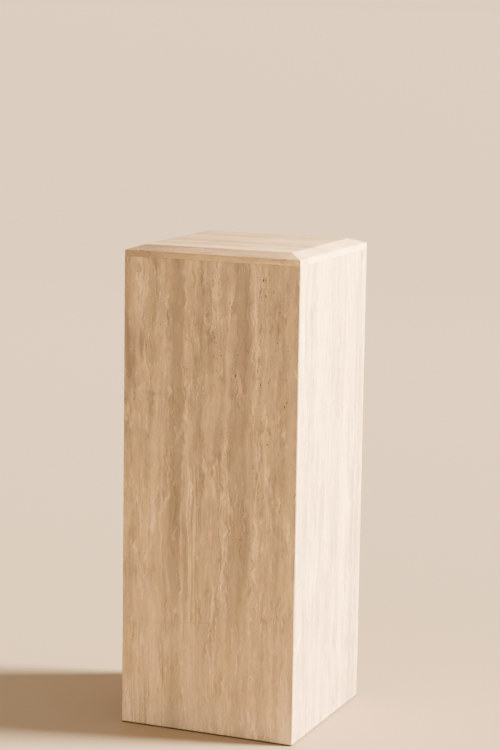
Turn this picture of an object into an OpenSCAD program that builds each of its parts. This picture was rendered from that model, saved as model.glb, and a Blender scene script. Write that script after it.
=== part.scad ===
// Square display pedestal in travertine.
// A tall hollow box: four upright slabs mitred together at the corners, closed
// by one flat slab whose upper edge carries a wide, shallow bevel all round.
// Units are millimetres. +Z is up, the floor is z = 0, the origin is the centre
// of the footprint, and the front panel faces -Y.

/* [Overall] */
// Width and depth of the square footprint
width = 300; // [240:5:400]
// Height from the floor to the flat of the top
height = 784; // [600:1:1100]

/* [Slabs] */
// Thickness of the four upright slabs
panel_t = 18; // [15:1:30]
// Thickness of the top slab
top_t = 18; // [15:1:30]

/* [Top bevel] */
// How far the bevel runs in from the side faces
bevel_run = 25; // [8:1:40]
// How far the bevel drops from the flat of the top
bevel_drop = 8; // [3:0.5:12]

/* [Arrises] */
// Leg of the small chamfer on the four upright corners
corner_arris = 2.5; // [1:0.5:5]
// Leg of the small chamfer round the foot
foot_arris = 3; // [1:0.5:6]

/* [Hidden] */

half = width / 2;             // centre line to an outer face
panel_h = height - top_t;     // the uprights end under the top slab
over = 5;                     // how far a cutting shape runs past the stone

// Tones of the stone, slab by slab
TOP_TONE = [0.84, 0.73, 0.61];
FRONT_TONE = [0.76, 0.63, 0.49];
RIGHT_TONE = [0.95, 0.90, 0.84];
BACK_TONE = [0.78, 0.66, 0.52];
LEFT_TONE = [0.74, 0.62, 0.48];

// Footprint: a square with its four corners nipped off by the corner arris
module footprint() {
    signs = [[-1, -1], [1, -1], [1, 1], [-1, 1]];
    polygon([for (s = signs, first = [true, false])
        // going round anticlockwise, the two ends of each nipped corner
        (s[0] * s[1] > 0) == first
            ? [s[0] * half, s[1] * (half - corner_arris)]
            : [s[0] * (half - corner_arris), s[1] * half]]);
}

// Endless bar along Y that has the bevelled profile of the top slab in X and Z
module bevel_bar() {
    fall = bevel_drop / bevel_run;                // slope of the bevel
    low = top_t - bevel_drop - over * fall;       // the bevel, run on outwards
    rotate([90, 0, 0])
        linear_extrude(height = width + 4 * over, center = true)
            polygon([
                [-half - over, -over], [half + over, -over],
                [half + over, low], [half - bevel_run, top_t],
                [bevel_run - half, top_t], [-half - over, low]
            ]);
}

// Top slab: flat field, bevel on all four sides, short upright edge below it
module bevelled_slab() {
    intersection() {
        linear_extrude(height = top_t + over) footprint();
        bevel_bar();
        rotate([0, 0, 90]) bevel_bar();
    }
}

// Upright slab whose outer face lies at y = -half. Its ends are mitred at 45
// degrees and each takes half of the arris on its corner of the pedestal.
module mitred_panel() {
    nip = corner_arris / 2;
    difference() {
        linear_extrude(height = panel_h)
            polygon([
                [corner_arris - half, -half], [half - corner_arris, -half],
                [half - nip, nip - half],
                [half - panel_t, panel_t - half], [panel_t - half, panel_t - half],
                [nip - half, nip - half]
            ]);
        // arris round the foot
        translate([0, -half, 0])
            rotate([90, 0, 90])
                linear_extrude(height = width + 2 * over, center = true)
                    polygon([[-over, foot_arris + over], [-over, -over], [foot_arris + over, -over]]);
    }
}

module top_slab() {
    color(TOP_TONE) translate([0, 0, panel_h]) bevelled_slab();
}

module front_panel() {
    color(FRONT_TONE) mitred_panel();
}

module right_panel() {
    color(RIGHT_TONE) rotate([0, 0, 90]) mitred_panel();
}

module back_panel() {
    color(BACK_TONE) rotate([0, 0, 180]) mitred_panel();
}

module left_panel() {
    color(LEFT_TONE) rotate([0, 0, 270]) mitred_panel();
}

top_slab();
front_panel();
right_panel();
back_panel();
left_panel();
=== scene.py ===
"""Looks of the square travertine display pedestal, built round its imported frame.

Every slab of the frame is replaced by a detailed mesh of the same slab: eased and lightly chipped
arrises, hairline joints, and the open pores and short cavities that vein-cut travertine shows.
The stone itself is one procedural node group, laid out for each slab by the way its veins run.
Lengths in the mesh code are millimetres in the frame's own axes, and metres in Blender.
"""

import math

import bmesh
import bpy
import numpy as np
from mathutils import Matrix, Vector
from mathutils.geometry import delaunay_2d_cdt


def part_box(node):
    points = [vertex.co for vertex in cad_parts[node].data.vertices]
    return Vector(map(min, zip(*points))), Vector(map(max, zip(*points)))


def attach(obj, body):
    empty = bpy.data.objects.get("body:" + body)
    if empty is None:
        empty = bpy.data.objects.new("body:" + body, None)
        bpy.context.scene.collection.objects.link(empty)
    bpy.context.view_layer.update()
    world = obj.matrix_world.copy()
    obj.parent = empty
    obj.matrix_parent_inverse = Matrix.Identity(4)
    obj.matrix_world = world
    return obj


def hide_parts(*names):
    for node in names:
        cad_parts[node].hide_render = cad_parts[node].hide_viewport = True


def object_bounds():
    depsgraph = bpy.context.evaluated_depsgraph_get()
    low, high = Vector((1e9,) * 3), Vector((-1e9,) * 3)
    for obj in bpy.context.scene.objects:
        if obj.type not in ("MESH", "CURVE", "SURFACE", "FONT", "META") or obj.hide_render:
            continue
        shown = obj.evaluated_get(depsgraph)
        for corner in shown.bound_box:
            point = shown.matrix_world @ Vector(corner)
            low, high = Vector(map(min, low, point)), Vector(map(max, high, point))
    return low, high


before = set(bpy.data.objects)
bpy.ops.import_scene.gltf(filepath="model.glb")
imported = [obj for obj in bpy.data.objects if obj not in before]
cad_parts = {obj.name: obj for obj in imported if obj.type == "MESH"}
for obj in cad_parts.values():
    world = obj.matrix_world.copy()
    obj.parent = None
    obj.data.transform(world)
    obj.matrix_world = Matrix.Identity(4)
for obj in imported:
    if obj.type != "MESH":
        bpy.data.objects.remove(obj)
cad_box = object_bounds()

MM = 1000.0
HALF = cad_box[1].x * MM  # half the width of the footprint
PANEL_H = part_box("front_panel")[1].z * MM  # top of the upright slabs
TOTAL_H = cad_box[1].z * MM
PANEL_T = 18.0  # thickness of the upright slabs
BEVEL_RUN, BEVEL_DROP = 25.0, 8.0
TOP_T = TOTAL_H - PANEL_H

HONED, CAVITY, SAWN = 0, 1, 2  # material slots of every piece


# ---------------------------------------------------------------- small helpers


def vnoise(x, seed):
    """Smooth one-dimensional noise from -1 to 1, the same for the same seed."""
    x = np.asarray(x, float)
    r = np.random.RandomState(seed).uniform(-1, 1, 512)
    i = np.floor(x).astype(int)
    f = x - i
    f = f * f * (3 - 2 * f)
    return r[i % 512] * (1 - f) + r[(i + 1) % 512] * f


def bumps(x, chips):
    """The depth of a row of chips at x. A chip is (middle, half length, depth)."""
    x = np.asarray(x, float)
    out = np.zeros_like(x)
    for mid, reach, deep in chips:
        r = np.clip(1 - ((x - mid) / reach) ** 2, 0, 1)
        out = np.maximum(out, deep * r**0.7 * (1 + 0.22 * vnoise(x / (0.35 * reach), int(mid * 7) % 900)))
    return out


def chip_list(seed, low, high, small, large, most):
    rng = np.random.RandomState(seed)
    chips = [
        (rng.uniform(low, high), rng.uniform(0.8, 2.6), rng.uniform(0.25, 0.9))
        for _ in range(small)
    ]
    chips += [
        (rng.uniform(low, high), rng.uniform(2.5, 6.0), rng.uniform(0.45, 1.0) * most)
        for _ in range(large)
    ]
    return chips


def stations(low, high, step, chips):
    """Places along an edge: even steps, and closer ones where a chip is."""
    at = list(np.linspace(low, high, int((high - low) / step) + 1))
    for mid, reach, _ in chips:
        n = max(6, int(2 * reach / 0.55))
        at += [mid + reach * k for k in np.linspace(-1.05, 1.05, n)]
    at = np.unique(np.round([a for a in at if low <= a <= high], 4))
    keep = [at[0]]
    for a in at[1:-1]:
        if a - keep[-1] > 0.22 and at[-1] - a > 0.22:
            keep.append(a)
    return np.array(keep + [at[-1]])


class Skin:
    """Collects faces in millimetres, sharing corners, and makes one mesh of them."""

    def __init__(self):
        self.points, self.found = [], {}
        self.faces, self.slots, self.smooth, self.uvs = [], [], [], []

    def point(self, p):
        key = (round(p[0] * 2000), round(p[1] * 2000), round(p[2] * 2000))
        at = self.found.get(key)
        if at is None:
            at = self.found[key] = len(self.points)
            self.points.append((p[0], p[1], p[2]))
        return at

    def face(self, points, uvs, slot, smooth):
        ids = [self.point(p) for p in points]
        keep = [k for k in range(len(ids)) if ids[k] != ids[k - 1]]
        if len({ids[k] for k in keep}) < 3:
            return
        self.faces.append([ids[k] for k in keep])
        self.uvs.append([uvs[k] for k in keep])
        self.slots.append(slot)
        self.smooth.append(smooth)

    def loft(self, a, b, uva, uvb, slot=HONED, smooth=True, closed=False):
        """Quads between two rows of the same length."""
        n = len(a)
        for i in range(n if closed else n - 1):
            j = (i + 1) % n
            self.face([a[i], a[j], b[j], b[i]], [uva[i], uva[j], uvb[j], uvb[i]], slot, smooth)

    def patch(self, outline, solid, place, uv, slot=HONED, pits=()):
        """A flat patch inside straight edges, with cavities sunk into it.

        outline and the cavities are in the patch's own two axes; solid holds the outline's points in space, and
        place(u, v, depth) gives any other point.
        """
        coords = [Vector(p) for p in outline]
        space, flat = list(solid), [uv(p[0], p[1]) for p in outline]
        loops = [list(range(len(outline)))]
        for pit in pits:
            first = len(coords)
            ring = pit["rings"][0][0]
            coords += [Vector(p) for p in ring]
            space += [place(p[0], p[1], 0.0) for p in ring]
            flat += [uv(p[0], p[1]) for p in ring]
            loops.append(list(range(first, len(coords))))
        _, _, tris, origin, _, inside = delaunay_2d_cdt(coords, [], loops, 1, 1e-6, True)
        for tri, holds in zip(tris, inside):
            if any(h > 0 for h in holds) or 0 not in holds:
                continue
            ids = [origin[k][0] for k in tri]
            self.face([space[k] for k in ids], [flat[k] for k in ids], slot, False)
        for pit in pits:
            rings = pit["rings"]
            for (ra, da), (rb, db) in zip(rings[:-1], rings[1:]):
                n = len(ra)
                for i in range(n):
                    j = (i + 1) % n
                    quad = [(ra[i], da[i]), (ra[j], da[j]), (rb[j], db[j]), (rb[i], db[i])]
                    self.face([place(p[0], p[1], d) for p, d in quad], [uv(p[0], p[1]) for p, d in quad], CAVITY, True)
            ring, depth = rings[-1]
            middle = ring.mean(0)
            floor = float(depth.max() * 1.12)
            n = len(ring)
            for i in range(n):
                j = (i + 1) % n
                tri = [(ring[i], depth[i]), (ring[j], depth[j]), (middle, floor)]
                self.face([place(p[0], p[1], d) for p, d in tri], [uv(p[0], p[1]) for p, d in tri], CAVITY, True)

    def build(self, name, materials):
        mesh = bpy.data.meshes.new(name)
        mesh.from_pydata([(x / MM, y / MM, z / MM) for x, y, z in self.points], [], self.faces)
        for m in materials:
            mesh.materials.append(m)
        mesh.polygons.foreach_set("material_index", np.array(self.slots, np.int32))
        mesh.polygons.foreach_set("use_smooth", np.array(self.smooth, bool))
        layer = mesh.uv_layers.new(name="OFBake")
        flat = np.array([c for face in self.uvs for c in face], np.float32)
        layer.uv.foreach_set("vector", flat.ravel())
        form = bmesh.new()
        form.from_mesh(mesh)
        bmesh.ops.recalc_face_normals(form, faces=form.faces)
        form.to_mesh(mesh)
        form.free()
        mesh.update()
        piece = bpy.data.objects.new(name, mesh)
        bpy.context.scene.collection.objects.link(piece)
        return piece


# ---------------------------------------------------------------- cavities


def cavity(rng, u, v, wide, long, deep, corners, along):
    """One open cavity: a ragged outline and two or three rings down to its floor. along is 1 where the veins run with v, and 0 where they run with u."""
    turn = np.linspace(0, 2 * math.pi, corners, endpoint=False) + rng.uniform(0, 0.5)
    ragged = 1 + 0.22 * vnoise(turn * 1.3 + rng.uniform(0, 50), rng.randint(1, 10**6))
    ragged *= 1 + rng.uniform(-0.13, 0.13, corners)
    pinch = 1 + 0.25 * np.cos(2 * turn + rng.uniform(-0.6, 0.6))
    across, lengthways = wide / 2 * np.cos(turn) * ragged, long / 2 * np.sin(turn) * ragged
    across *= pinch
    lean = rng.uniform(-0.16, 0.16) * lengthways
    shape = np.stack([across + lean, lengthways], 1)
    if not along:
        shape = shape[:, ::-1] * [1, -1]
    steps = [(1.0, 0.0), (0.93, 0.16), (0.74, 0.62)] + ([(0.45, 0.9)] if wide > 1.2 else [])
    rings = []
    for k, (size, down) in enumerate(steps):
        jig = 0 if k == 0 else 0.06
        ring = shape * size * (1 + rng.uniform(-jig, jig, (corners, 1))) + [u, v]
        rings.append((ring, deep * down * (1 + rng.uniform(-0.15, 0.15, corners) * (k > 0))))
    return {"rings": rings, "at": (u, v), "reach": 0.5 * math.hypot(wide * 1.5, long * 1.3)}


class Scatter:
    """Places cavities on a patch so that none touches another or the patch's edge."""

    def __init__(self, seed, low, high, margin, along=1):
        self.rng = np.random.RandomState(seed)
        self.low, self.high, self.margin, self.along = low, high, margin, along
        self.made, self.grid = [], {}

    def clear(self, u, v, half_u, half_v):
        if not (self.low[0] + self.margin + half_u < u < self.high[0] - self.margin - half_u):
            return False
        if not (self.low[1] + self.margin + half_v < v < self.high[1] - self.margin - half_v):
            return False
        cu, cv = int(u // 12), int(v // 12)
        for i in range(cu - 1, cu + 2):
            for j in range(cv - 1, cv + 2):
                for a, b, ha, hb in self.grid.get((i, j), ()):
                    if abs(a - u) < ha + half_u + 0.25 and abs(b - v) < hb + half_v + 0.25:
                        return False
        return True

    def add(self, u, v, wide, long, deep):
        half_w, half_l = 0.5 * wide * 1.75, 0.5 * long * 1.4
        half_u, half_v = (half_w + 0.08 * long, half_l) if self.along else (half_l, half_w + 0.08 * long)
        if half_u > 9 or half_v > 9 or not self.clear(u, v, half_u, half_v):
            return False
        corners = 7 if long < 1.3 else 10 if long < 3 else 14 if long < 6 else 18
        self.made.append(cavity(self.rng, u, v, wide, long, deep, corners, self.along))
        self.grid.setdefault((int(u // 12), int(v // 12)), []).append((u, v, half_u, half_v))
        return True

    def pore(self, u, v, size=1.0):
        long = size * self.rng.choice([self.rng.uniform(0.6, 1.3), self.rng.uniform(1.2, 2.3)], p=[0.7, 0.3])
        wide = long * self.rng.uniform(0.42, 0.85)
        return self.add(u, v, wide, long, wide * self.rng.uniform(0.9, 1.5))

    def slit(self, u, v, size=1.0):
        long = size * self.rng.uniform(2.2, 5.4)
        wide = min(2.4, long * self.rng.uniform(0.16, 0.34))
        return self.add(u, v, wide, long, wide * self.rng.uniform(0.8, 1.4) + 0.3)


def panel_pits(seed, streaks, loose, quiet_below=0.0):
    """Cavities of an upright slab. A streak is (s, z from, z to, width, pores, slits), in millimetres."""
    made = Scatter(seed, (-HALF, 0.0), (HALF, PANEL_H), 9.0)
    rng = made.rng
    for s, z0, z1, width, pores, slits in streaks:
        phase = rng.uniform(0, 60)

        def middle(z):
            return s + 3.0 * math.sin(z / 31.0 + phase) + 4.0 * float(vnoise(z / 55.0 + phase, seed + 5))

        for _ in range(slits):
            z = rng.uniform(z0, z1)
            made.slit(middle(z) + width * 0.3 * rng.randn(), z, rng.uniform(0.6, 1.1))
        left = pores
        while left > 0:
            # pores sit in short strings, not evenly
            z, run = rng.uniform(z0, z1), rng.uniform(4, 26)
            count = rng.randint(3, 12)
            off = width * 0.35 * rng.randn()
            for _ in range(count):
                at = z + run * rng.uniform(-0.5, 0.5)
                made.pore(middle(at) + off + 1.6 * rng.randn(), at, rng.uniform(0.7, 1.2))
            left -= count
    for _ in range(loose):
        z = rng.uniform(0, PANEL_H)
        if z < quiet_below and rng.uniform() < 0.6:
            continue
        made.pore(rng.uniform(-HALF, HALF), z, rng.uniform(0.5, 0.95))
    return made.made


# ---------------------------------------------------------------- upright slabs

# The four upright corners: number j lies between slab j and slab j + 1, anticlockwise from above.
CORNER_CHIPS = [
    chip_list(100 + j, 12, PANEL_H - 12, small, large, most)
    for j, (small, large, most) in enumerate([(9, 1, 1.1), (12, 3, 1.8), (12, 3, 2.2), (10, 2, 1.6)])
]
CORNER_Z = [stations(0, PANEL_H, 3.0, c) for c in CORNER_CHIPS]


def corner_leg(j, side, z):
    """How far the arris of corner j reaches onto the face on one side of it."""
    z = np.asarray(z, float)
    leg = 2.45 + 0.3 * vnoise(z / 41.0, 300 + 2 * j + side) + 0.16 * vnoise(z / 9.0, 320 + 2 * j + side)
    share = 0.55 + 0.45 * vnoise(z / 23.0, 340 + 2 * j + side)
    return leg + bumps(z, CORNER_CHIPS[j]) * np.clip(share + 0.35, 0.25, 1.3)


def corner_mid(j, z):
    """How deep the arris cuts at the mitre, measured from either face."""
    z = np.asarray(z, float)
    return 0.29 * (2.45 + 0.3 * vnoise(z / 41.0, 300 + 2 * j)) + 0.42 * bumps(z, CORNER_CHIPS[j])


def arris_rings(j, side, z):
    """(lateral, depth) of the arris from the face's edge to the glue line, one row per ring."""
    a, c = corner_leg(j, side, z), corner_mid(j, z)
    a = np.maximum(a, 2.2 * c)
    q = np.minimum(2 * c, 0.9 * a)
    rings = []
    for t in (0.0, 0.22, 0.48, 0.74):
        rings.append(((1 - t) ** 2 * a + 2 * t * (1 - t) * q + t * t * c, t * t * c))
    rings.append((c + 0.13, c - 0.03))
    rings.append((c + 0.5, c + 0.5))  # the foot of the hairline joint, on the mitre
    return rings


def foot_leg(k, s):
    s = np.asarray(s, float)
    leg = 2.7 + 0.35 * vnoise(s / 33.0, 400 + k) + 0.2 * vnoise(s / 8.0, 410 + k)
    edge = np.clip((HALF - 7 - np.abs(s)) / 12.0, 0, 1)
    return 2.7 + (leg - 2.7 + bumps(s, FOOT_CHIPS[k])) * edge


FOOT_CHIPS = [chip_list(500 + k, -HALF + 14, HALF - 14, 9, 3, 2.4) for k in range(4)]
TOP_CHIPS = [chip_list(520 + k, -HALF + 14, HALF - 14, 6, 0, 0) for k in range(4)]


def foot_shape(r):
    """Height of the foot arris over its leg, at depth r over its leg: a flattened quarter round."""
    r = np.clip(r, 0, 1)
    t = (-0.24 + np.sqrt(0.24**2 + 4 * 0.76 * r)) / (2 * 0.76)
    return (1 - t) ** 2 + 2 * t * (1 - t) * 0.12


def build_panel(name, k, pits, materials):
    """Slab k, counted anticlockwise from the front. s runs to the right and d inwards, seen from outside."""
    turn = [(1, 0, 0, 1), (0, -1, 1, 0), (-1, 0, 0, -1), (0, 1, -1, 0)][k]

    def place(s, z, d):
        x, y = s, d - HALF
        return (turn[0] * x + turn[1] * y, turn[2] * x + turn[3] * y, z)

    skin = Skin()
    left, right = (k - 1) % 4, k  # corner numbers

    def uv(s, z):
        return (0.012 + 0.60 * (s + HALF + 2) / (2 * HALF + 4), 0.012 + 0.976 * (z + 4) / (PANEL_H + 6))

    leg_end = 2.7
    corners = {}
    for sign, j, side in ((-1, left, 1), (1, right, 0)):
        zs = CORNER_Z[j]
        rings = arris_rings(j, side, zs)
        d0 = [float(r[1][0]) for r in rings]  # depths at the foot
        d1 = [float(r[1][-1]) for r in rings]  # depths at the top
        rows = []
        for n, (lat, dep) in enumerate(rings):
            low = leg_end * float(foot_shape(d0[n] / leg_end))
            ease = 0.15 * max(0.0, 1 - d1[n] / d1[4]) ** 1.4 if n < 4 else 0.0
            high = PANEL_H - ease
            z = low + (high - low) * zs / PANEL_H
            s = sign * (HALF - lat)
            rows.append(np.stack([s, z, dep], 1))
        corners[sign] = rows
        # the strips of the arris and the groove beside the glue line
        run = np.zeros(len(zs))
        for n in range(len(rows) - 1):
            a, b = rows[n], rows[n + 1]
            step = np.linalg.norm((b - a)[:, [0, 2]], axis=1)
            base = sign * (HALF - rings[0][0])
            uva = [uv(base[i] + sign * run[i], a[i, 1]) for i in range(len(zs))]
            run = run + step
            uvb = [uv(base[i] + sign * run[i], b[i, 1]) for i in range(len(zs))]
            pa = [place(*p) for p in a]
            pb = [place(*p) for p in b]
            slot = HONED if n < 4 else CAVITY
            if sign > 0:
                skin.loft(pb, pa, uvb, uva, slot, n < 4)
            else:
                skin.loft(pa, pb, uva, uvb, slot, n < 4)

    # columns along the foot and the top, from the left arris to the right one
    def columns(chips):
        return (stations(-HALF, HALF, 3.0, chips) + HALF) / (2 * HALF)

    def edge_rows(fr, end, extra, leg, shape_z):
        """Rings across the slab at one end of it, from the face inwards."""
        rows = []
        l, r = corners[-1], corners[1]
        depth_l = [l[n][end, 2] for n in range(6)] + extra
        depth_r = [r[n][end, 2] for n in range(6)] + extra
        for n in range(len(depth_l)):
            sl = l[n][end, 0] if n < 6 else -(HALF - depth_l[n])
            sr = r[n][end, 0] if n < 6 else HALF - depth_r[n]
            s = sl + (sr - sl) * fr
            ratio = leg(s) / leg_end
            d = (depth_l[n] + (depth_r[n] - depth_l[n]) * fr) * ratio
            z = shape_z(d, ratio)
            if n < 6:
                for at, row in ((0, l[n][end]), (-1, r[n][end])):
                    s[at], z[at], d[at] = row
            rows.append((s, z, d))
        return rows

    # foot
    fr = columns(FOOT_CHIPS[k])
    extra = [1.75, 2.2, leg_end]
    foot = edge_rows(
        fr, 0, extra, lambda s: foot_leg(k, s), lambda d, ratio: foot_shape(d / (leg_end * ratio)) * leg_end * ratio
    )
    foot[-1][1][:] = 0.0
    run = np.zeros(len(fr))
    for n in range(len(foot) - 1):
        (sa, za, da), (sb, zb, db) = foot[n], foot[n + 1]
        uva = [uv(s, za0 - r) for s, za0, r in zip(sa, foot[0][1], run)]
        run = run + np.hypot(zb - za, db - da)
        uvb = [uv(s, za0 - r) for s, za0, r in zip(sb, foot[0][1], run)]
        skin.loft(
            [place(*p) for p in zip(sb, zb, db)], [place(*p) for p in zip(sa, za, da)], uvb, uva, HONED, True
        )

    # the eased edge under the top slab
    ft = columns(TOP_CHIPS[k])
    one = lambda s: leg_end * (1 + 0.12 * vnoise(s / 19.0, 430 + k) * np.clip((HALF - 7 - np.abs(s)) / 10, 0, 1))

    top = []
    for n in range(6):
        sl, sr = corners[-1][n][-1, 0], corners[1][n][-1, 0]
        s = sl + (sr - sl) * ft
        dl, dr = corners[-1][n][-1, 2], corners[1][n][-1, 2]
        ratio = one(s) / leg_end
        d = (dl + (dr - dl) * ft) * ratio
        zl, zr = corners[-1][n][-1, 1], corners[1][n][-1, 1]
        z = PANEL_H - (PANEL_H - (zl + (zr - zl) * ft)) * ratio
        chip = bumps(s, TOP_CHIPS[k]) * 0.8 * max(0.0, 1 - n / 4.0)
        chip *= np.clip((HALF - 7 - np.abs(s)) / 12.0, 0, 1)
        z = z - chip
        for at, row in ((0, corners[-1][n][-1]), (-1, corners[1][n][-1])):
            s[at], z[at], d[at] = row
        top.append((s, z, d))
    for n in range(5):
        (sa, za, da), (sb, zb, db) = top[n], top[n + 1]
        skin.loft(
            [place(*p) for p in zip(sa, za, da)],
            [place(*p) for p in zip(sb, zb, db)],
            [uv(s, z + d) for s, z, d in zip(sa, za, da)],
            [uv(s, z + d) for s, z, d in zip(sb, zb, db)],
            HONED,
            True,
        )

    # outer face: a frame from the wavering edges to straight ones, then the flat with its cavities
    half_in, z_in, z_end = HALF - 7.6, 8.2, PANEL_H - 5.0
    edge, frame_in = [], []

    def side_of(points, targets):
        edge.extend(points)
        frame_in.extend(targets)

    def up_to(j):
        return z_in + (z_end - z_in) * CORNER_Z[j] / PANEL_H

    side_of(list(zip(foot[0][0], foot[0][1])), [(-half_in + 2 * half_in * f, z_in) for f in fr])
    side_of([(p[0], p[1]) for p in corners[1][0][1:-1]], [(half_in, z) for z in up_to(right)[1:-1]])
    side_of(list(zip(top[0][0], top[0][1]))[::-1], [(-half_in + 2 * half_in * f, z_end) for f in ft][::-1])
    side_of([(p[0], p[1]) for p in corners[-1][0][1:-1]][::-1], [(-half_in, z) for z in up_to(left)[1:-1]][::-1])
    frame_in = [(float(u), float(v)) for u, v in frame_in]
    inner_solid = [place(u, v, 0.0) for u, v in frame_in]
    skin.loft(
        [place(u, v, 0.0) for u, v in edge],
        inner_solid,
        [uv(u, v) for u, v in edge],
        [uv(u, v) for u, v in frame_in],
        HONED,
        False,
        closed=True,
    )
    skin.patch(frame_in, inner_solid, place, uv, HONED, pits)

    # mitres, the ends and the inner face, as they left the saw
    inner = HALF - PANEL_T

    def uv_in(s, z):
        return (0.64 + 0.22 * (s + inner) / (2 * inner), 0.012 + 0.87 * z / PANEL_H)

    back = {}
    for rows, share, z, v0 in ((foot[-1], fr, 0.0, 0.905), (top[-1], ft, PANEL_H, 0.955)):
        near = [place(s, z, d) for s, d in zip(rows[0], rows[2])]
        far = [(float(-inner + 2 * inner * f), z) for f in share]
        tint = lambda s, d, v0=v0: (0.64 + 0.22 * (s + HALF) / (2 * HALF), v0 + 0.03 * d / PANEL_T)
        skin.loft(
            near,
            [place(u, v, PANEL_T) for u, v in far],
            [tint(s, d) for s, d in zip(rows[0], rows[2])],
            [tint(u, PANEL_T) for u, _ in far],
            SAWN,
            False,
        )
        back[z] = far
    for sign, u0 in ((-1, 0.88), (1, 0.945)):
        end = 0 if sign < 0 else -1
        chain = [tuple(float(foot[n][c][end]) for c in range(3)) for n in (8, 7, 6)]
        chain += [tuple(p) for p in corners[sign][5]]
        far = [(sign * inner, float(p[1])) for p in chain]
        skin.loft(
            [place(*p) for p in chain],
            [place(u, v, PANEL_T) for u, v in far],
            [(u0 + 0.045 * p[2] / PANEL_T, 0.012 + 0.976 * p[1] / PANEL_H) for p in chain],
            [(u0 + 0.045, 0.012 + 0.976 * v / PANEL_H) for _, v in far],
            SAWN,
            False,
        )
        back[sign] = far
    outline = back[0.0] + back[1][1:-1] + back[PANEL_H][::-1] + back[-1][1:-1][::-1]
    skin.patch(outline, [place(u, v, PANEL_T) for u, v in outline], place, uv_in, SAWN)

    piece = skin.build(name + "_stone", materials)
    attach(piece, "root")
    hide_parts(name)
    return piece


# ---------------------------------------------------------------- top slab

SLOPE = BEVEL_DROP / BEVEL_RUN
FIELD_INSET, BEVEL_HIGH, BEVEL_LOW = 28.2, 22.0, 4.4
BAND_HIGH, BAND_LOW = TOTAL_H - BEVEL_DROP - 3.0, PANEL_H + 1.6


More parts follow.
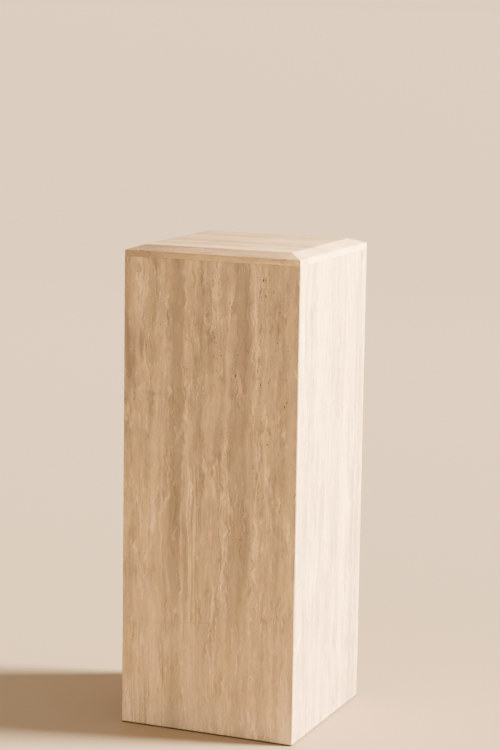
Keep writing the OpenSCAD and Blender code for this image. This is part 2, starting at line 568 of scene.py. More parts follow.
def build_top(name, pits_field, pits_edge, materials):
    """The top slab: flat field, four bevels, upright edge and underside, as rings from the field outwards."""
    skin = Skin()
    ridge = TOTAL_H - BEVEL_DROP  # where the bevel would meet the side face
    fr = np.linspace(-1, 1, 101)
    n_side = len(fr)
    arc = np.linspace(0, math.pi / 2, 7)[1:-1]
    chips = [chip_list(600 + i, -HALF + 16, HALF - 16, 8, 1, 0.9) for i in range(4)]
    low_chips = [chip_list(640 + i, -HALF + 16, HALF - 16, 7, 0, 0) for i in range(4)]
    fade = np.clip((1 - np.abs(fr)) / 0.06, 0, 1)

    def wob(seed, side, big, small):
        x = fr * HALF
        return (big * vnoise(x / 46.0, seed + side) + small * vnoise(x / 9.0, seed + 40 + side)) * fade

    def chip(side, rows=chips):
        return bumps(fr * HALF, rows[side]) * fade

    def ring(inset, radius, height):
        """One loop round the slab, anticlockwise from above, from the front's left end."""
        points = []
        for side in range(4):
            cs, sn = ((1, 0), (0, 1), (-1, 0), (0, -1))[side]
            ins, zz = inset(side), height(side)
            reach = HALF - float(ins[-1]) - radius
            for f, i, h in zip(fr, ins, zz):
                x, y = float(f * reach), -(HALF - float(i))
                points.append((cs * x - sn * y, sn * x + cs * y, float(h)))
            for turned in arc:
                x, y = reach + radius * math.sin(turned), -reach - radius * math.cos(turned)
                points.append((cs * x - sn * y, sn * x + cs * y, float(zz[-1])))
        return points

    even = lambda value: lambda side: np.full(n_side, float(value))
    on_bevel = lambda inset: lambda side: TOTAL_H - 0.03 - (BEVEL_RUN - inset(side)) * SLOPE
    crest = lambda side: BEVEL_RUN + wob(700, side, 0.7, 0.25)
    bevel_end = lambda side: 1.5 + wob(740, side, 0.35, 0.15) + chip(side) * 0.9
    band_top = lambda side: ridge - (1.25 + wob(780, side, 0.3, 0.12) + chip(side) * 0.8)

    def shoulder(t):
        inset = lambda side: (1 - t) ** 2 * bevel_end(side) + 2 * t * (1 - t) * 0.12
        height = lambda side: (
            (1 - t) ** 2 * on_bevel(bevel_end)(side)
            + 2 * t * (1 - t) * (ridge + 0.05 - chip(side) * 0.45)
            + t * t * band_top(side)
        )
        return inset, height

    plan = [  # (ring, way travelled outwards from the middle)
        (ring(even(FIELD_INSET), 0.5, even(TOTAL_H)), HALF - FIELD_INSET),
        (ring(lambda s: crest(s) + 0.9, 0.8, even(TOTAL_H)), 124.1),
        (ring(crest, 1.0, even(TOTAL_H - 0.085)), 125.0),
        (ring(lambda s: crest(s) - 0.9, 1.1, on_bevel(lambda s: crest(s) - 0.9)), 125.9),
        (ring(even(BEVEL_HIGH), 1.2, on_bevel(even(BEVEL_HIGH))), 128.1),
        (ring(even(BEVEL_LOW), 1.9, on_bevel(even(BEVEL_LOW))), 146.6),
        (ring(bevel_end, 2.1, on_bevel(bevel_end)), 149.6),
        (ring(shoulder(0.3)[0], 2.2, shoulder(0.3)[1]), 150.3),
        (ring(shoulder(0.6)[0], 2.35, shoulder(0.6)[1]), 151.0),
        (ring(even(0), 2.5, band_top), 151.6),
        (ring(even(0), 2.5, even(BAND_HIGH)), 153.4),
        (ring(even(0), 2.5, even(BAND_LOW)), 158.8),
        (ring(even(0), 2.5, lambda s: PANEL_H + 0.14 + 0.05 * vnoise(fr * 11, 800 + s) * fade + chip(s, low_chips) * 0.7), 160.2),
        (ring(even(0.12), 2.4, even(PANEL_H + 0.05)), 160.5),
        (ring(even(0.4), 2.2, even(PANEL_H)), 160.8),
    ]
    spans = {4: True, 10: False}  # the flat parts that hold cavities: bevel, and upright edge

    def unfold(x, y, way):
        m = max(abs(x), abs(y))
        return (0.41 + 0.39 * x / m * way / 164.0, 0.41 + 0.39 * y / m * way / 164.0)

    maps = [[unfold(p[0], p[1], way) for p in points] for points, way in plan]
    total, leg = len(plan[0][0]), n_side + len(arc)
    for n in range(len(plan) - 1):
        a, b, ua, ub = plan[n][0], plan[n + 1][0], maps[n], maps[n + 1]
        for i in range(total):
            if n in spans and i % leg < n_side - 1:
                continue
            j = (i + 1) % total
            skin.face([b[i], b[j], a[j], a[i]], [ub[i], ub[j], ua[j], ua[i]], CAVITY if n > 11 else HONED, n not in (0, 4, 10, 11))

    lean = math.hypot(1, SLOPE)
    for side in range(4):
        cs, sn = ((1, 0), (0, 1), (-1, 0), (0, -1))[side]
        for n, is_bevel in spans.items():
            a, b = (plan[m][0][side * leg : side * leg + n_side] for m in (n, n + 1))
            v_a, v_b = (BEVEL_HIGH, BEVEL_LOW) if is_bevel else (BAND_HIGH, BAND_LOW)
            across = lambda p: cs * p[0] + sn * p[1]
            outline = [(across(p), v_b) for p in b] + [(across(p), v_a) for p in reversed(a)]

            def place(u, v, d):
                if is_bevel:
                    x, y, z = u, v - HALF + d * SLOPE / lean, TOTAL_H - 0.03 - (BEVEL_RUN - v) * SLOPE - d / lean
                else:
                    x, y, z = u, -HALF + d, v
                return (cs * x - sn * y, sn * x + cs * y, z)

            def uv(u, v):
                y = v - HALF if is_bevel else -HALF
                way = plan[n][1] + (plan[n + 1][1] - plan[n][1]) * (v - v_a) / (v_b - v_a)
                return unfold(cs * u - sn * y, sn * u + cs * y, way)

            skin.patch(outline, list(b) + list(reversed(a)), place, uv, HONED, pits_edge.get((side, is_bevel), ()))

    flat = lambda u, v: (0.41 + 0.39 * u / 164.0, 0.41 + 0.39 * v / 164.0)
    first, last = plan[0][0], plan[-1][0]
    skin.patch([(p[0], p[1]) for p in first], first, lambda u, v, d: (u, v, TOTAL_H - d), flat, HONED, pits_field)
    under = lambda u, v: (0.835 + 0.15 * (u + HALF) / (2 * HALF), 0.012 + 0.97 * (v + HALF) / (2 * HALF))
    skin.patch([(p[0], p[1]) for p in last], last, lambda u, v, d: (u, v, PANEL_H), under, SAWN)

    piece = skin.build(name + "_stone", materials)
    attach(piece, "root")
    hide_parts(name)
    return piece


# ---------------------------------------------------------------- stone material


class Graph:
    """Short names for building a node tree."""

    def __init__(self, tree):
        self.tree = tree

    def node(self, kind, **sets):
        n = self.tree.nodes.new(kind)
        for key, value in sets.items():
            setattr(n, key, value)
        return n

    def put(self, socket, value):
        if isinstance(value, bpy.types.NodeSocket):
            self.tree.links.new(value, socket)
        elif value is not None:
            socket.default_value = value

    def math(self, op, a, b=None, c=None, clamp=False):
        n = self.node("ShaderNodeMath", operation=op, use_clamp=clamp)
        for socket, value in zip(n.inputs, (a, b, c)):
            self.put(socket, value)
        return n.outputs[0]

    def add(self, *values):
        out = values[0]
        for v in values[1:]:
            out = self.math("ADD", out, v)
        return out

    def mul(self, a, b):
        return self.math("MULTIPLY", a, b)

    def fma(self, a, b, c):
        return self.math("MULTIPLY_ADD", a, b, c)

    def step(self, value, low, high, to_low=0.0, to_high=1.0):
        n = self.node("ShaderNodeMapRange", interpolation_type="SMOOTHSTEP")
        for key, v in (("Value", value), ("From Min", low), ("From Max", high), ("To Min", to_low), ("To Max", to_high)):
            self.put(n.inputs[key], v)
        return n.outputs[0]

    def vec(self, x, y, z):
        n = self.node("ShaderNodeCombineXYZ")
        for socket, value in zip(n.inputs, (x, y, z)):
            self.put(socket, value)
        return n.outputs[0]

    def noise(self, vector, detail=2.0, rough=0.5, scale=1.0, lac=2.0, colour=False):
        n = self.node("ShaderNodeTexNoise", noise_dimensions="3D")
        self.put(n.inputs["Vector"], vector)
        n.inputs["Scale"].default_value = scale
        n.inputs["Detail"].default_value = detail
        n.inputs["Roughness"].default_value = rough
        n.inputs["Lacunarity"].default_value = lac
        return n.outputs["Color" if colour else "Fac"]

    def voronoi(self, vector, feature="F1", smooth=None, random=1.0, out="Distance"):
        n = self.node("ShaderNodeTexVoronoi", feature=feature)
        self.put(n.inputs["Vector"], vector)
        n.inputs["Scale"].default_value = 1.0
        n.inputs["Randomness"].default_value = random
        if smooth is not None:
            n.inputs["Smoothness"].default_value = smooth
        return n.outputs[out]

    def mix(self, fac, a, b, blend="MIX"):
        n = self.node("ShaderNodeMix", data_type="RGBA", blend_type=blend, clamp_factor=True)
        self.put(n.inputs[0], fac)
        self.put(n.inputs[6], a)
        self.put(n.inputs[7], b)
        return n.outputs[2]

    def ramp(self, fac, stops, interpolation="LINEAR"):
        n = self.node("ShaderNodeValToRGB")
        n.color_ramp.interpolation = interpolation
        el = n.color_ramp.elements
        while len(el) < len(stops):
            el.new(0.5)
        for e, (at, colour) in zip(el, stops):
            e.position, e.color = at, (*colour, 1.0)
        self.put(n.inputs[0], fac)
        return n.outputs[0]


def srgb(r, g, b):
    """Linear colour from sRGB numbers, 0 to 255."""
    return tuple((c / 12.92 if c <= 0.04045 else ((c + 0.055) / 1.055) ** 2.4) for c in (r / 255, g / 255, b / 255))


def stone_group(
    name, across, along, through, seed, bands=(), spots=(), cracks=(), calm=(), strings=(), reeds=(), pale_low=0.0, grade=0.0,
    tint=(1.0, 1.0, 1.0), tint_from=None, tint_eases=None, foot=0.0, painted_foot_light=0.0,
):
    """Vein-cut travertine, as a node group giving its colour, relief and roughness.

    across, along and through are (axis, sign): the way the layers are stacked, the way the veins run, and the third
    way.
    bands are (middle, reach, from, to, fade, tone): long darker or paler strips, in millimetres across and along the
    veins.
    spots are (across, along, reach across, reach along, tone, redness). cracks are (along, slope, from, to), healed
    hairlines across the veins. calm strips, (middle, reach, from, to), have little texture, strings, the same, have
    many bright threads, and reeds, the same, have straight fine stripes. tint multiplies the colour, everywhere or only
    past
    tint_from along the third way: short of it the stone is a shade darker, a painted shade that keeps the top slab's
    upright edge darker than its top face. The tint eases off along the veins between the two places of tint_eases. foot
    is how far up the arris that meets the floor is painted near-black, a painted contact shadow, and painted_foot_light
    pales the stone just above it, a painted light standing in for bounce from the floor.
    """
    tree = bpy.data.node_groups.new(name, "ShaderNodeTree")
    for socket, kind in (("Colour", "NodeSocketColor"), ("Height", "NodeSocketFloat"), ("Rough", "NodeSocketFloat"), ("Grain", "NodeSocketFloat")):
        tree.interface.new_socket(socket, in_out="OUTPUT", socket_type=kind)
    g = Graph(tree)
    outlet = g.node("NodeGroupOutput")

    place = g.node("ShaderNodeTexCoord").outputs["Object"]
    split = g.node("ShaderNodeSeparateXYZ")
    tree.links.new(place, split.inputs[0])

    def axis(way):
        return g.mul(split.outputs["XYZ".index(way[0])], way[1] * MM)

    x, z, y = axis(across), axis(along), axis(through)

    def at(fx, fz, fy=None, shift=0.0, xx=None):
        """Noise coordinates, from feature sizes in millimetres."""
        fy = fx if fy is None else fy
        return g.vec(
            g.fma(xx if xx is not None else x, 1.0 / fx, seed * 3.17 + shift),
            g.fma(y, 1.0 / fy, seed * 1.31 + shift * 0.7),
            g.fma(z, 1.0 / fz, seed * 7.73 + shift * 1.9),
        )

    # The layers wander slowly, waver, and end in small ragged lobes like heaped-up crusts.
    slow = g.fma(g.noise(at(95, 340), 1.0), 20.0, -10.0)
    waver = g.fma(g.noise(at(26, 84, shift=11), 3.0, 0.55), 11.0, -5.5)
    jitter = g.fma(g.noise(at(5.5, 11, shift=23), 3.0, 0.62), 6.4, -3.2)
    crumb = g.fma(g.noise(at(1.7, 3.4, shift=29), 1.0), 1.8, -0.9)
    lobes = g.fma(g.voronoi(at(10, 19, shift=31), "SMOOTH_F1", 0.25), 7.0, -3.2)
    soft = g.add(x, slow, waver)
    rough_x = g.add(soft, jitter, crumb)
    layer = g.add(rough_x, lobes)

    # How strongly the ragged edges and the fine veins show, patch by patch.
    lively = g.step(g.noise(at(55, 130, shift=41), 2.0), 0.36, 0.60, 0.45, 1.0)

    def strata(size, length, shift, detail, rough, base=layer):
        return g.noise(at(size, length, size * 3, shift, base), detail, rough)

    broad = strata(27, 700, 51, 1.0, 0.4)
    middle = strata(9.0, 460, 57, 1.5, 0.5)
    thin = strata(3.1, 110, 61, 2.0, 0.6, rough_x)
    fibre = g.noise(at(0.9, 8.0, shift=67, xx=rough_x), 2.0, 0.6)
    cloud = g.noise(at(38, 70, shift=71), 3.0, 0.55)
    grain = g.noise(at(1.1, 1.6, shift=73), 3.0, 0.65)

    # Flat areas with crisp ragged edges, in three sizes.
    slabs = g.step(strata(14, 165, 63, 2.5, 0.5, layer), 0.465, 0.535, -0.5, 0.5)
    flakes = g.step(strata(5.6, 46, 65, 3.0, 0.6, rough_x), 0.465, 0.535, -0.5, 0.5)
    chips = g.step(strata(2.6, 11.0, 69, 2.0, 0.6, rough_x), 0.45, 0.55, -0.5, 0.5)

    def strip(mid, reach, z0, z1, fade, base):
        """1 inside a strip along the veins, 0 outside it, with ragged ends."""
        shape = g.step(g.math("ABSOLUTE", g.math("SUBTRACT", base, mid)), reach * 1.25, reach * 0.6)
        ends = g.add(z, g.fma(cloud, 90.0, -45.0))
        if z0 > -50:
            shape = g.mul(shape, g.step(ends, z0 - fade, z0 + fade))
        if z1 < 850:
            shape = g.mul(shape, g.step(ends, z1 + fade, z1 - fade))
        return shape

    detail = g.add(
        g.mul(slabs, 0.115),
        g.mul(g.mul(flakes, 0.135), lively),
        g.mul(g.mul(chips, 0.075), lively),
        g.fma(thin, 0.22, -0.11),
        g.fma(fibre, 0.15, -0.075),
    )
    for mid, reach, z0, z1 in calm:
        detail = g.mul(detail, g.fma(strip(mid, reach, z0, z1, 40, soft), -0.58, 1.0))
    tone = g.fma(broad, 0.40, 0.5 - 0.20)
    tone = g.add(tone, detail, g.fma(middle, 0.40, -0.20), g.fma(cloud, 0.40, -0.20), g.fma(grain, 0.13, -0.065))

    if reeds:
        reed = g.noise(at(2.6, 330, shift=137, xx=g.add(soft, g.mul(jitter, 0.22))), 2.0, 0.55)
        reed = g.step(reed, 0.40, 0.60, -0.17, 0.17)
        for mid, reach, z0, z1 in reeds:
            tone = g.fma(strip(mid, reach, z0, z1, 30, soft), reed, tone)

    # Listed strips.
    for n, (mid, reach, z0, z1, fade, amount) in enumerate(bands):
        base = g.add(rough_x, g.mul(lobes, 0.5)) if n % 2 else layer
        tone = g.fma(strip(mid, reach, z0, z1, fade, base), amount, tone)

    red = g.step(g.noise(at(21, 75, shift=83), 3.0, 0.55), 0.56, 0.72)
    red = g.mul(red, 0.30)
    for u, v, ru, rv, amount, redness in spots:
        du = g.mul(g.math("SUBTRACT", g.add(x, waver, jitter, crumb), u), 1.0 / ru)
        dv = g.mul(g.math("SUBTRACT", g.add(z, g.mul(waver, 1.3)), v), 1.0 / rv)
        r = g.math("SQRT", g.add(g.mul(du, du), g.mul(dv, dv)))
        shape = g.step(r, 1.12, 0.72)
        tone = g.fma(shape, amount, tone)
        red = g.fma(shape, redness, red)

    # Bright stringers where two layers meet, each with a darker line beside it: the stringers are the stone's own, the
    # line beside them is painted shade, as if each stringer stood in relief lit from one side.
    meet = g.math("SUBTRACT", strata(12, 190, 91, 2.5, 0.55, layer), 0.5)
    show = g.step(g.noise(at(24, 60, shift=97), 2.0), 0.44, 0.58)
    for mid, reach, z0, z1 in strings:
        show = g.math("MAXIMUM", show, strip(mid, reach, z0, z1, 40, soft))
    crest = g.mul(g.step(g.math("ABSOLUTE", meet), 0.030, 0.008), show)
    tone = g.fma(crest, 0.24, tone)
    painted_seam_shade = g.mul(g.step(g.math("ABSOLUTE", g.math("SUBTRACT", meet, 0.045)), 0.030, 0.006), show)
    tone = g.fma(painted_seam_shade, -0.19, tone)
    lone = g.math("SUBTRACT", strata(8, 60, 103, 2.0, 0.55, layer), 0.48)
    lone = g.mul(g.step(g.math("ABSOLUTE", lone), 0.028, 0.005), g.step(g.noise(at(20, 46, shift=107), 2.0), 0.50, 0.62))
    tone = g.fma(lone, -0.15, tone)

    # on the top slab this slope is painted shadow: darker to the left, paler to the right
    if grade:
        tone = g.add(tone, g.fma(z, -grade / PANEL_H, grade / 2))
    if pale_low:
        low = g.step(g.add(z, g.fma(cloud, 160.0, -80.0)), 330.0, 60.0)
        pale = g.fma(g.math("SUBTRACT", tone, 0.5), 0.75, 0.5 + pale_low)
        tone = g.add(g.mul(tone, g.math("SUBTRACT", 1.0, low)), g.mul(pale, low))

    colour = g.ramp(
        tone,
        [
            (0.00, (0.272, 0.205, 0.142)),
            (0.18, (0.338, 0.254, 0.172)),
            (0.32, (0.405, 0.300, 0.195)),
            (0.46, (0.480, 0.350, 0.219)),
            (0.60, (0.572, 0.410, 0.246)),
            (0.76, (0.675, 0.484, 0.285)),
            (1.00, (0.800, 0.592, 0.368)),
        ],
    )
    hue = g.noise(at(17, 66, 30, 79, soft), 2.0, 0.55)
    colour = g.mix(g.step(hue, 0.52, 0.64), colour, g.mix(1.0, colour, (1.015, 0.986, 1.012, 1.0), "MULTIPLY"))
    colour = g.mix(g.step(hue, 0.47, 0.36), colour, g.mix(1.0, colour, (1.0, 0.999, 0.935, 1.0), "MULTIPLY"))
    colour = g.mix(g.mul(red, 0.5), colour, g.mix(1.0, colour, (1.02, 0.92, 0.91, 1.0), "MULTIPLY"))

    # Small filled pores, a touch paler than the stone round them, and dark specks, tiny dimpled pores whose darkness is
    # painted shade, each with a paler dot beside it that is a painted highlight on the pore's rim.
    cells = g.voronoi(at(6.5, 11.0, shift=113), random=1.0)
    fills = g.mul(g.step(cells, 0.13, 0.09), g.step(g.noise(at(22, 50, shift=117), 1.0), 0.52, 0.62))
    colour = g.mix(g.mul(fills, 0.38), colour, (0.62, 0.46, 0.30, 1.0))
    patchy = g.noise(at(15, 34, shift=127), 2.0)
    porous = g.step(patchy, 0.53, 0.66)
    for mid, reach, z0, z1 in strings:
        porous = g.math("MAXIMUM", porous, g.mul(strip(mid, reach * 0.8, z0 + 60, z1, 40, soft), g.step(patchy, 0.42, 0.54)))
    specks = g.voronoi(at(3.4, 4.6, shift=121), random=1.0)
    speck = g.mul(g.step(specks, 0.25, 0.13), porous)
    painted_rim_glint = g.mul(g.step(g.voronoi(at(3.4, 4.6, shift=121.15), random=1.0), 0.27, 0.15), porous)
    colour = g.mix(g.mul(painted_rim_glint, 0.5), colour, (0.76, 0.57, 0.36, 1.0))
    colour = g.mix(g.mul(speck, 0.6), colour, (0.20, 0.145, 0.092, 1.0))

    for v, slope, u0, u1 in cracks:
        bent = g.add(z, g.fma(g.noise(at(13, 30, shift=131), 3.0, 0.6), 9.0, -4.5), g.mul(x, -slope))
        line = g.step(g.math("ABSOLUTE", g.math("SUBTRACT", bent, v)), 0.75, 0.18)
        line = g.mul(line, g.mul(g.step(x, u0 - 8, u0 + 2), g.step(x, u1 + 14, u1 - 6)))
        colour = g.mix(g.mul(line, 0.30), colour, (0.26, 0.19, 0.125, 1.0))

    where = 1.0
    # short of tint_from, on the top slab's upright edge and underside, the colour is made a shade darker: painted
    # shade, keeping the edge darker than the top face
    if tint_from is not None:
        where = g.step(y, tint_from - 1.5, tint_from + 1.5)
        colour = g.mix(where, g.mix(1.0, colour, (0.93, 0.915, 0.885, 1.0), "MULTIPLY"), colour)
    # on the top slab the tint is full at the left end and a third of it at the right: with grade, a painted shadow,
    # warmer to the left
    if tint_eases:
        where = g.mul(where, g.step(g.add(z, g.fma(cloud, 60.0, -30.0)), *tint_eases, 1.0, 0.3))
    colour = g.mix(where, colour, g.mix(1.0, colour, (*tint, 1.0), "MULTIPLY"))
    # painted light: the stone's lowest 6 to 78 mm are paled and cooled, standing in for bounce from the floor in front,
    # which lies in shade
    if painted_foot_light:
        low = g.mul(g.step(g.add(z, g.fma(cloud, 16.0, -8.0)), 78.0, 6.0), painted_foot_light)
        colour = g.mix(low, colour, g.mix(1.0, colour, (1.12, 1.19, 1.30, 1.0), "MULTIPLY"))
    # painted contact shadow: the arris that meets the floor is painted near-black up to half of foot millimetres,
    # fading out by foot millimetres
    if foot:
        colour = g.mix(g.step(g.add(z, g.mul(crumb, 0.35)), foot, foot * 0.5, 0.0, 0.86), colour, (0.085, 0.060, 0.038, 1.0))
    height = g.add(g.mul(fibre, 0.35), g.mul(grain, 0.5), g.mul(thin, 0.4), g.mul(speck, -1.3), g.mul(fills, -0.25))
    rough = g.add(0.40, g.fma(grain, 0.16, -0.08), g.fma(thin, -0.16, 0.08), g.mul(speck, 0.25))
    for socket, value in zip(outlet.inputs, (colour, height, rough, grain)):
        g.put(socket, value)
    return tree


def stone_material(name, group, kind, across, along):
    """One finish of a slab's stone: honed outside, raw in its cavities, or as it left the saw."""
    mat = bpy.data.materials.new(name)
    mat.use_nodes = True
    tree = mat.node_tree
    tree.nodes.clear()
    g = Graph(tree)
    out = g.node("ShaderNodeOutputMaterial")
    shader = g.node("ShaderNodeBsdfPrincipled")
    tree.links.new(shader.outputs[0], out.inputs[0])
    stone = g.node("ShaderNodeGroup", node_tree=group)
    colour, height, rough, grain = (stone.outputs[k] for k in ("Colour", "Height", "Rough", "Grain"))
    bump = g.node("ShaderNodeBump")
    place = g.node("ShaderNodeTexCoord").outputs["Object"]

    if kind == CAVITY:
        # inside the pores: unworked crystal, rough, darkened to a dusty brown-grey that is partly dust and partly
        # painted shade deepening the pores
        sugar = g.noise(place, 3.0, 0.7, scale=1800.0)
        colour = g.mix(g.step(sugar, 0.35, 0.7, 0.6, 0.92), colour, (0.185, 0.155, 0.122, 1.0))
        height = g.add(g.mul(sugar, 1.6), g.mul(grain, 0.6))
        rough = g.fma(sugar, 0.15, 0.72)
        strength, distance, gloss = 0.6, 0.00025, 0.25
    elif kind == SAWN:
        # hidden sides as they left the saw: arcs of fine kerf marks under pale dust
        split = g.node("ShaderNodeSeparateXYZ")
        tree.links.new(place, split.inputs[0])
        u, v = split.outputs["XYZ".index(across[0])], split.outputs["XYZ".index(along[0])]
        wave = g.node("ShaderNodeTexWave", wave_type="RINGS", rings_direction="SPHERICAL", wave_profile="SAW")
        g.put(wave.inputs["Vector"], g.vec(g.math("ADD", u, 0.45), 0.0, g.math("ADD", v, -0.2)))
        wave.inputs["Scale"].default_value = 62.0
        wave.inputs["Distortion"].default_value = 1.2
        wave.inputs["Detail"].default_value = 2.0
        marks = wave.outputs["Fac"]
        colour = g.mix(0.42, colour, (*srgb(214, 194, 168), 1.0))
        colour = g.mix(g.fma(marks, -0.12, 0.12), colour, (*srgb(168, 142, 112), 1.0))
        height = g.add(g.mul(marks, 1.5), g.mul(grain, 1.2))
        rough = g.fma(grain, 0.2, 0.68)
        strength, distance, gloss = 0.5, 0.0003, 0.3
    else:
        strength, distance, gloss = 0.35, 0.00012, 0.26

    shader.inputs["IOR"].default_value = 1.5
    shader.inputs["Specular IOR Level"].default_value = gloss
    bump.inputs["Strength"].default_value = strength
    bump.inputs["Distance"].default_value = distance
    g.put(shader.inputs["Base Color"], colour)
    g.put(shader.inputs["Roughness"], rough)
    g.put(bump.inputs["Height"], height)
    tree.links.new(bump.outputs[0], shader.inputs["Normal"])
    return mat


def materials_for(name, **layout):
    group = stone_group(f"{name}_travertine", **layout)
    return [
        stone_material(f"{name}_{finish}", group, kind, layout["across"], layout["along"])
        for kind, finish in ((HONED, "honed"), (CAVITY, "cavity"), (SAWN, "sawn"))
    ]


# ---------------------------------------------------------------- the slabs

# (across, reach, from, to, fade, tone), across from the middle of the slab and along from the floor
FRONT_BANDS = [
    (-56, 13, 280, 900, 110, -0.25),
    (-55, 10, -60, 420, 90, -0.17),
    (54, 15, 240, 900, 90, -0.24),
    (60, 9, -60, 330, 70, -0.12),
    (-86, 11, 270, 650, 50, 0.16),
    (80, 8, -60, 900, 60, 0.10),
    (4, 12, 430, 900, 70, 0.10),
    (-147, 7, 480, 800, 50, -0.17),
    (112, 9, 380, 800, 70, -0.08),
    (28, 6, 150, 470, 60, 0.12),
    (104, 6, -60, 420, 80, 0.08),
    (-118, 14, 40, 330, 60, 0.08),
    (143, 9, -60, 900, 60, 0.07),
    (-20, 9, 500, 720, 60, -0.09),
]
FRONT_CALM = [(-58, 13, 200, 900), (54, 15, 200, 900), (142, 11, 300, 900), (-104, 12, 660, 900)]
FRONT_STRINGS = [(6, 18, 380, 900), (82, 13, 200, 900), (-118, 16, 540, 760), (28, 12, 200, 480)]
FRONT_REEDS = [(-118, 18, -60, 165), (-76, 7, -60, 170), (-31, 17, 170, 430), (8, 8, 50, 200)]
FRONT_SPOTS = [
    (-118, 628, 6.0, 28, -0.22, 0.50),
    (-136, 592, 9, 22, -0.15, 0.1),
    (-128, 566, 9, 12, -0.13, 0.0),
    (-103, 549, 20, 3.2, -0.11, 0.0),
    (2, 610, 7, 60, -0.06, 0.35),
    (66, 560, 8, 60, -0.06, 0.3),
    (-22, 660, 9, 34, -0.02, 0.45),
    (112, 690, 12, 34, -0.07, 0.3),
    (-136, 720, 9, 24, -0.03, 0.45),
    (112, 600, 12, 20, 0.03, 0.35),
]
RIGHT_BANDS = [
    (124, 24, -60, 720, 60, -0.12),
    (-119, 6, 620, 760, 40, -0.17),
    (-95, 5, 590, 740, 40, -0.21),
    (-112, 8, 150, 420, 60, -0.15),
    (-35, 6, 325, 430, 40, -0.21),
    (111, 5, 430, 690, 60, -0.23),
    (104, 8, -60, 410, 60, -0.21),
    (127, 5, -60, 900, 60, -0.12),
    (27, 8, 500, 740, 60, -0.09),
    (66, 12, -60, 500, 90, 0.10),
    (-60, 20, 560, 900, 60, 0.10),
]
RIGHT_SPOTS = [
    (13, 280, 5, 46, -0.21, 0.3),
    (32, 300, 4, 27, -0.20, 0.2),
    (31, 146, 5, 40, -0.20, 0.2),
    (-44, 172, 4, 46, -0.20, 0.3),
    (12, 92, 5, 19, -0.18, 0.2),
    (-10, 205, 4, 30, -0.12, 0.4),
    (70, 130, 4, 50, -0.15, 0.4),
]
BACK_BANDS = [
    (-92, 15, 100, 900, 120, -0.18),
    (-30, 7, -60, 900, 60, 0.14),
    (24, 18, -60, 560, 120, -0.16),
    (98, 9, 200, 900, 90, 0.13),
    (130, 12, -60, 420, 90, -0.12),
]
LEFT_BANDS = [
    (-112, 10, -60, 620, 100, -0.16),
    (-40, 16, 180, 900, 120, -0.20),
    (14, 6, -60, 900, 60, 0.15),
    (70, 14, -60, 540, 100, -0.14),
    (116, 8, 240, 900, 90, 0.10),
]
# The first, wide band lifts the whole top by the offset that grade takes away at its middle. What is left is grade's
# slope, a painted shadow: darker to the left, paler to the right.
TOP_BANDS = [
    (0, 400, -200, 900, 60, 0.55),
    (-96, 12, -200, 900, 60, 0.06),
    (-30, 14, -200, 900, 60, -0.08),
    (38, 8, -200, 900, 60, 0.07),
    (90, 14, -200, 900, 60, -0.06),
    (-147, 8, -200, 900, 60, 0.07),
]
# The first spot pales the right bevel: painted light, as if lit as strongly as the right face. The second darkens and
# reddens the front bevel: painted shade, with a warmer tone of the stone.
TOP_SPOTS = [(0, 143, 400, 22, 0.20, 0.0), (-134, 0, 14, 400, -0.12, 0.2)]

SLABS = {
    "front_panel": dict(
        k=0,
        layout=dict(
            across=("X", 1), along=("Z", 1), through=("Y", 1), seed=1.0, bands=FRONT_BANDS, spots=FRONT_SPOTS,
            # painted_foot_light paints light on this slab's foot
            calm=FRONT_CALM, strings=FRONT_STRINGS, reeds=FRONT_REEDS, cracks=[(172, -0.05, -150, -58), (184, 0.08, -60, 8)], pale_low=0.082, grade=0.13, painted_foot_light=0.8,
        ),
        pits=dict(
            seed=11,
            streaks=[
                (8, 560, 760, 16, 90, 10),
                (-22, 520, 740, 10, 34, 3),
                (84, 380, 760, 10, 110, 14),
                (100, 480, 750, 14, 90, 7),
                (-128, 480, 760, 12, 46, 4),
                (-90, 560, 700, 12, 26, 2),
                (46, 520, 700, 12, 40, 3),
                (-45, 420, 760, 9, 22, 2),
                (30, 200, 520, 12, 26, 3),
                (78, 60, 380, 10, 30, 2),
                (130, 500, 740, 8, 40, 3),
                (12, 728, 757, 8, 16, 4),
                (88, 715, 757, 5, 18, 4),
                (83, 545, 640, 3, 28, 5),
                (104, 720, 755, 8, 12, 2),
                (116, 684, 702, 3, 6, 1),
                (-140, 470, 640, 7, 20, 2),
            ],
            loose=330,
            quiet_below=330,
        ),
    ),
    "right_panel": dict(
        k=1,
        # the painted contact shadow at this slab's foot reaches higher
        foot=4.4,
        layout=dict(across=("Y", 1), along=("Z", 1), through=("X", -1), seed=2.0, bands=RIGHT_BANDS, spots=RIGHT_SPOTS, grade=-0.20, tint=(0.985, 0.95, 0.915)),
        pits=dict(
            seed=12,
            streaks=[(108, 40, 640, 10, 80, 8), (-42, 230, 460, 10, 50, 5), (27, 120, 620, 12, 60, 5), (-118, 300, 700, 10, 50, 4)],
            loose=330,
        ),
    ),
    "back_panel": dict(
        k=2,
        layout=dict(across=("X", -1), along=("Z", 1), through=("Y", -1), seed=3.0, bands=BACK_BANDS, pale_low=0.03),
        pits=dict(
            seed=13,
            streaks=[(-92, 100, 740, 12, 90, 8), (24, 60, 560, 14, 90, 8), (98, 260, 700, 10, 50, 4)],
            loose=330,
        ),
    ),
    "left_panel": dict(
        k=3,
        layout=dict(across=("Y", -1), along=("Z", 1), through=("X", 1), seed=4.0, bands=LEFT_BANDS, pale_low=0.04),
        pits=dict(
            seed=14,
            streaks=[(-40, 200, 740, 14, 100, 9), (70, 40, 520, 12, 70, 6), (-112, 60, 600, 10, 60, 5)],
            loose=330,
        ),
    ),
}

# foot is how high the painted contact shadow at each slab's foot reaches: 3.4 mm unless the slab gives its own
for slab, facts in SLABS.items():
    build_panel(slab, facts["k"], panel_pits(**facts["pits"]), materials_for(slab, foot=facts.get("foot", 3.4), **facts["layout"]))

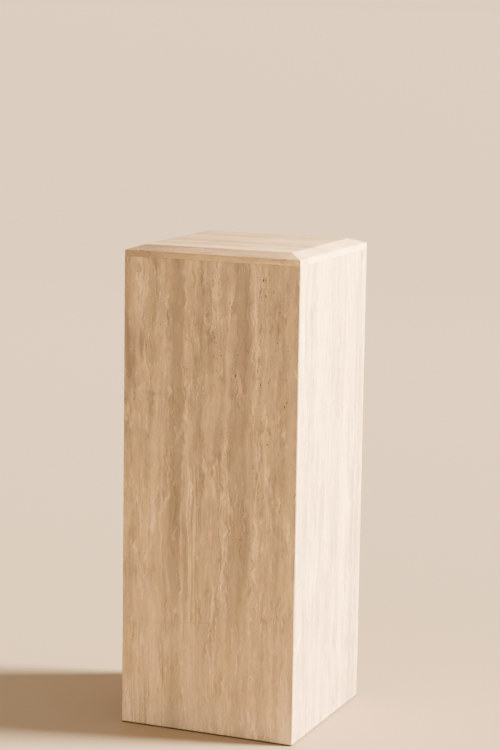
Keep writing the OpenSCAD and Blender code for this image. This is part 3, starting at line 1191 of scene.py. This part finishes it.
field = Scatter(21, (-HALF + FIELD_INSET, -HALF + FIELD_INSET), (HALF - FIELD_INSET, HALF - FIELD_INSET), 0.6, along=0)
for line in (-84, -30, -8, 41, 88):
    for n in range(44):
        getattr(field, "slit" if n % 9 == 0 else "pore")(
            field.rng.uniform(-118, 118), line + 6 * field.rng.randn(), field.rng.uniform(0.6, 1.1)
        )
for _ in range(150):
    field.pore(field.rng.uniform(-122, 122), field.rng.uniform(-122, 122), field.rng.uniform(0.5, 0.9))

edge_pits = {}
for side in range(4):
    # on the front and back the veins run with the edge; on the right and left they run into it
    bevel = Scatter(31 + side, (-HALF + 26, BEVEL_LOW), (HALF - 26, BEVEL_HIGH), 0.3, along=side % 2)
    for _ in range(44):
        bevel.pore(bevel.rng.uniform(-122, 122), bevel.rng.uniform(3, 23), bevel.rng.uniform(0.5, 1.0))
    band = Scatter(41 + side, (-HALF + 6, BAND_LOW), (HALF - 6, BAND_HIGH), 0.2, along=0)
    for _ in range(22):
        band.pore(band.rng.uniform(-142, 142), band.rng.uniform(PANEL_H + 1.5, PANEL_H + 8), band.rng.uniform(0.45, 0.8))
    edge_pits[(side, True)], edge_pits[(side, False)] = bevel.made, band.made

# the top's grade and eased tint paint shadow: darker and warmer towards the left, paler towards the right; the tint
# also warms the whole top face a little
build_top(
    "top_slab",
    field.made,
    edge_pits,
    materials_for(
        "top_slab", across=("Y", 1), along=("X", 1), through=("Z", 1), seed=5.0, bands=TOP_BANDS, spots=TOP_SPOTS, grade=-1.10,
        tint=(1.0, 0.905, 0.765), tint_from=PANEL_H + 9.0, tint_eases=(-70.0, 165.0),
    ),
)


# ---------------------------------------------------------------- stage, light, camera


def floor_material():
    mat = bpy.data.materials.new("stage_floor")
    mat.use_nodes = True
    g = Graph(mat.node_tree)
    shader = mat.node_tree.nodes["Principled BSDF"]
    shader.inputs["Base Color"].default_value = (*srgb(180, 159, 134), 1.0)
    shader.inputs["Roughness"].default_value = 0.85
    return mat


floor_mesh = bpy.data.meshes.new("stage_floor")
steps = [-2500.0, -250.0, -30.0, -4.0, -1.0, 1.0, 4.0, 30.0, 250.0, 2500.0]
n = len(steps)
floor_mesh.from_pydata(
    [(x, y, 70.0 if max(abs(x), abs(y)) > 2000 else 0.0) for y in steps for x in steps],
    [],
    [(j * n + i, j * n + i + 1, (j + 1) * n + i + 1, (j + 1) * n + i) for j in range(n - 1) for i in range(n - 1)],
)
floor_mesh.materials.append(floor_material())
floor = bpy.data.objects.new("stage_floor", floor_mesh)
bpy.context.scene.collection.objects.link(floor)

world = bpy.data.worlds.new("studio")
bpy.context.scene.world = world
world.use_nodes = True
sky = world.node_tree.nodes["Background"]
sky.inputs["Color"].default_value = (1.0, 0.885, 0.745, 1.0)
sky.inputs["Strength"].default_value = 0.60


def sun(name, azimuth, elevation, strength, colour, size):
    """A soft, even light. azimuth is the way it comes from: 0 from the front, 90 from the right."""
    lamp = bpy.data.lights.new(name, "SUN")
    lamp.energy, lamp.color, lamp.angle = strength, colour, math.radians(size)
    o = bpy.data.objects.new(name, lamp)
    a, e = math.radians(azimuth), math.radians(elevation)
    back = Vector((math.sin(a) * math.cos(e), -math.cos(a) * math.cos(e), math.sin(e)))
    o.rotation_mode = "QUATERNION"
    o.rotation_quaternion = (-back).to_track_quat("-Z", "Y")
    bpy.context.scene.collection.objects.link(o)


sun("key", 110, 16, 25.0, (1.0, 0.93, 0.815), 16)
sun("fill", -4, 7, 1.255, (1.0, 0.902, 0.775), 60)

# a wide soft box behind, above the picture, for the sheen of the top and its bevels
box_data = bpy.data.lights.new("rear", "AREA")
box_data.shape, box_data.size, box_data.size_y = "RECTANGLE", 7.0, 2.6
box_data.energy, box_data.color = 40.0, (1.0, 0.76, 0.50)
rear = bpy.data.objects.new("rear", box_data)
rear.location = (-0.3, 4.6, 2.75)
rear.rotation_mode = "QUATERNION"
rear.rotation_quaternion = (Vector((0, 0, 0.75)) - rear.location).to_track_quat("-Z", "Y")
bpy.context.scene.collection.objects.link(rear)

view = bpy.context.scene.view_settings
view.view_transform = "AgX"
view.look = "AgX - Medium High Contrast"
view.exposure = 0.0

# The camera stands a little over a metre high and rather more than three and a half metres away.
AZ, EL, ROLL = math.radians(22.48), math.radians(9.33), math.radians(0.873)
DIST, SIDEWAYS, UPWARDS, FOCAL = 3.7873, 0.00572, 0.17046, 2304.1
back = Vector((math.sin(AZ) * math.cos(EL), -math.cos(AZ) * math.cos(EL), math.sin(EL)))
right = Vector((math.cos(AZ), math.sin(AZ), 0.0))
up = back.cross(right)
spot = Vector((0, 0, TOTAL_H / MM / 2)) + back * DIST + right * SIDEWAYS + up * UPWARDS
cam_x = right * math.cos(ROLL) + up * math.sin(ROLL)
cam_y = up * math.cos(ROLL) - right * math.sin(ROLL)
cam_data = bpy.data.cameras.new("camera")
cam_data.sensor_fit = "AUTO"
cam_data.sensor_width = 36.0
cam_data.lens = FOCAL / 750 * 36.0
cam_data.clip_start, cam_data.clip_end = 0.1, 6000.0
camera = bpy.data.objects.new("camera", cam_data)
camera.rotation_mode = "QUATERNION"
turn = Matrix((cam_x, cam_y, back)).transposed()
camera.rotation_quaternion = turn.to_quaternion()
camera.location = spot
bpy.context.scene.collection.objects.link(camera)
bpy.context.scene.camera = camera
